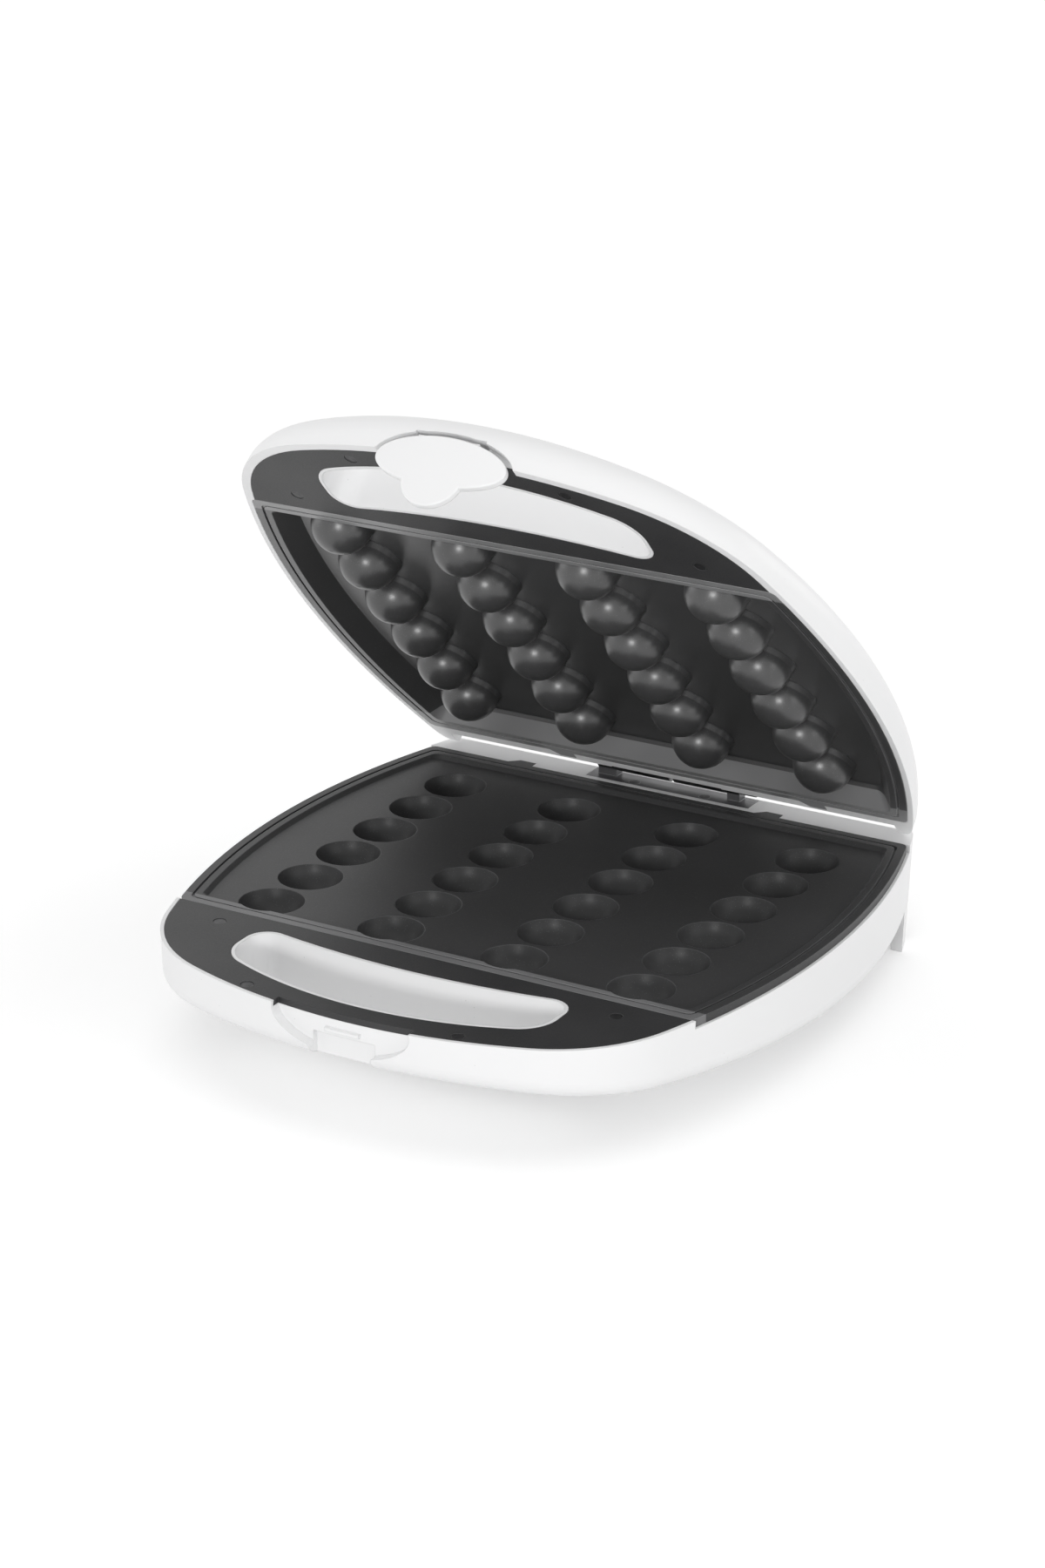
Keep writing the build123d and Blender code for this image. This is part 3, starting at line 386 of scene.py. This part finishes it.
assign(buildPlain("blackCap", {
    "dark": (0.014, 0.014, 0.014, 1), "light": (0.022, 0.022, 0.022, 1),
    "rough": (0.3, 0.42), "scale": 1800.0, "depth": 0.00003, "coat": 0.0,
}), "hinge_pin_cap")
assign(buildPlain("footRubber", {
    "dark": (0.02, 0.02, 0.02, 1), "light": (0.034, 0.034, 0.034, 1),
    "rough": (0.7, 0.85), "scale": 1200.0, "depth": 0.0001, "coat": 0.0,
}), "front_feet")
assign(buildPlain("glandRubber", {
    "dark": (0.66, 0.66, 0.665, 1), "light": (0.72, 0.72, 0.725, 1),
    "rough": (0.42, 0.56), "scale": 1500.0, "depth": 0.00005, "coat": 0.0,
}), "cord_gland")
assign(buildPlain("ceramicBlock", {
    "dark": (0.62, 0.6, 0.54, 1), "light": (0.72, 0.7, 0.65, 1),
    "rough": (0.55, 0.7), "scale": 1400.0, "depth": 0.0001, "coat": 0.0,
}), "terminal_block")
assign(buildPlain("redLens", {
    "dark": (0.36, 0.008, 0.008, 1), "light": (0.5, 0.015, 0.012, 1),
    "rough": (0.08, 0.14), "scale": 900.0, "depth": 0.00001, "coat": 0.6,
}), "power_lamp")
assign(buildPlain("greenLens", {
    "dark": (0.01, 0.2, 0.03, 1), "light": (0.02, 0.3, 0.05, 1),
    "rough": (0.08, 0.14), "scale": 900.0, "depth": 0.00001, "coat": 0.6,
}), "ready_lamp")
print("materials assigned")


# Studio

def buildFloor():
    # the floor is lifted towards white where it is seen, more so far from the object
    settings = {
        "size": 16.0, "segments": 8, "color": grey(0.88), "rough": 0.9, "gloss": 0.1,
        "lift": {"From Min": 0.6, "From Max": 3.2, "To Min": 0.27, "To Max": 0.55},
    }
    mesh = bpy.data.meshes.new("floor")
    shape = bmesh.new()
    bmesh.ops.create_grid(
        shape, x_segments=settings["segments"], y_segments=settings["segments"],
        size=settings["size"] / 2)
    shape.to_mesh(mesh)
    shape.free()
    floor = bpy.data.objects.new("floor", mesh)
    scene.collection.objects.link(floor)
    material, tree, shader = newMaterial("paleFloor")
    shader.inputs["Base Color"].default_value = settings["color"]
    shader.inputs["Roughness"].default_value = settings["rough"]
    shader.inputs["Specular IOR Level"].default_value = settings["gloss"]
    ray = addNode(tree, "ShaderNodeLightPath")
    seen = mathNode(tree, "MAXIMUM", ray.outputs["Is Camera Ray"], ray.outputs["Is Glossy Ray"])
    place = addNode(tree, "ShaderNodeTexCoord")
    away = addNode(tree, "ShaderNodeVectorMath", operation="LENGTH")
    connect(tree, place.outputs["Object"], away.inputs[0])
    fade = addNode(tree, "ShaderNodeMapRange", interpolation_type="SMOOTHSTEP")
    connect(tree, away.outputs["Value"], fade.inputs["Value"])
    for socketName, value in settings["lift"].items():
        fade.inputs[socketName].default_value = value
    strength = mathNode(tree, "MULTIPLY", seen, fade.outputs["Result"])
    connect(tree, strength, shader.inputs["Emission Strength"])
    shader.inputs["Emission Color"].default_value = grey(1.0)
    mesh.materials.append(material)


def buildWorld():
    # white where it is seen, dimmer where it only lights the object
    settings = {"light": 0.63, "seen": 1.0}
    world = bpy.data.worlds.new("studio")
    scene.world = world
    world.use_nodes = True
    tree = world.node_tree
    background = tree.nodes["Background"]
    background.inputs["Color"].default_value = grey(1.0)
    ray = addNode(tree, "ShaderNodeLightPath")
    seen = mathNode(tree, "MAXIMUM", ray.outputs["Is Camera Ray"], ray.outputs["Is Glossy Ray"])
    seen = mathNode(tree, "MAXIMUM", seen, ray.outputs["Is Transmission Ray"])
    extra = mathNode(tree, "MULTIPLY", seen, settings["seen"] - settings["light"])
    strength = mathNode(tree, "ADD", extra, settings["light"])
    connect(tree, strength, background.inputs["Strength"])


def addSoftbox(name, settings):
    light = bpy.data.lights.new(name, "AREA")
    light.shape = "RECTANGLE"
    light.size, light.size_y = settings["size"]
    light.energy = settings["power"]
    lamp = bpy.data.objects.new(name, light)
    lamp.location = settings["place"]
    towards = Vector(settings["aim"]) - Vector(settings["place"])
    lamp.rotation_euler = towards.to_track_quat("-Z", "Y").to_euler()
    scene.collection.objects.link(lamp)


def buildSoftboxes():
    # the front one makes the highlights on the domes, the rest keep the housings even
    middle = (0, 0, 0.12)
    settings = {
        "frontSoftbox": {
            "place": (0.55, -2.0, 0.42), "aim": (0, 0, 0.15), "size": (0.55, 0.3), "power": 11.5},
        "topSoftbox": {
            "place": (0.1, -0.1, 2.0), "aim": (0, 0, 0.1), "size": (2.6, 2.2), "power": 8.2},
        "rightSoftbox": {
            "place": (1.9, -0.3, 0.6), "aim": middle, "size": (1.2, 0.9), "power": 5.0},
        "leftSoftbox": {
            "place": (-1.8, -0.5, 0.6), "aim": middle, "size": (1.2, 0.9), "power": 4.0},
        "rearSoftbox": {
            "place": (0.9, 1.7, 0.6), "aim": middle, "size": (1.2, 0.9), "power": 4.0},
    }
    for name, softbox in settings.items():
        addSoftbox(name, softbox)


def buildCamera():
    # fitted to the photo, angles in degrees, lens and sensor in millimetres
    settings = {
        "place": (0.85136, -1.492386, 0.79642), "azimuth": 29.77, "elevation": 21.77,
        "lens": 90.38, "sensor": 36.0,
    }
    camera = bpy.data.cameras.new("photoCamera")
    camera.sensor_width = settings["sensor"]
    camera.lens = settings["lens"]
    holder = bpy.data.objects.new("photoCamera", camera)
    holder.location = settings["place"]
    tilt = radians(90 - settings["elevation"])
    holder.rotation_euler = (tilt, 0, radians(settings["azimuth"]))
    scene.collection.objects.link(holder)
    scene.camera = holder


buildFloor()
buildWorld()
buildSoftboxes()
buildCamera()
scene.view_settings.view_transform = "Standard"
print("studio ready")
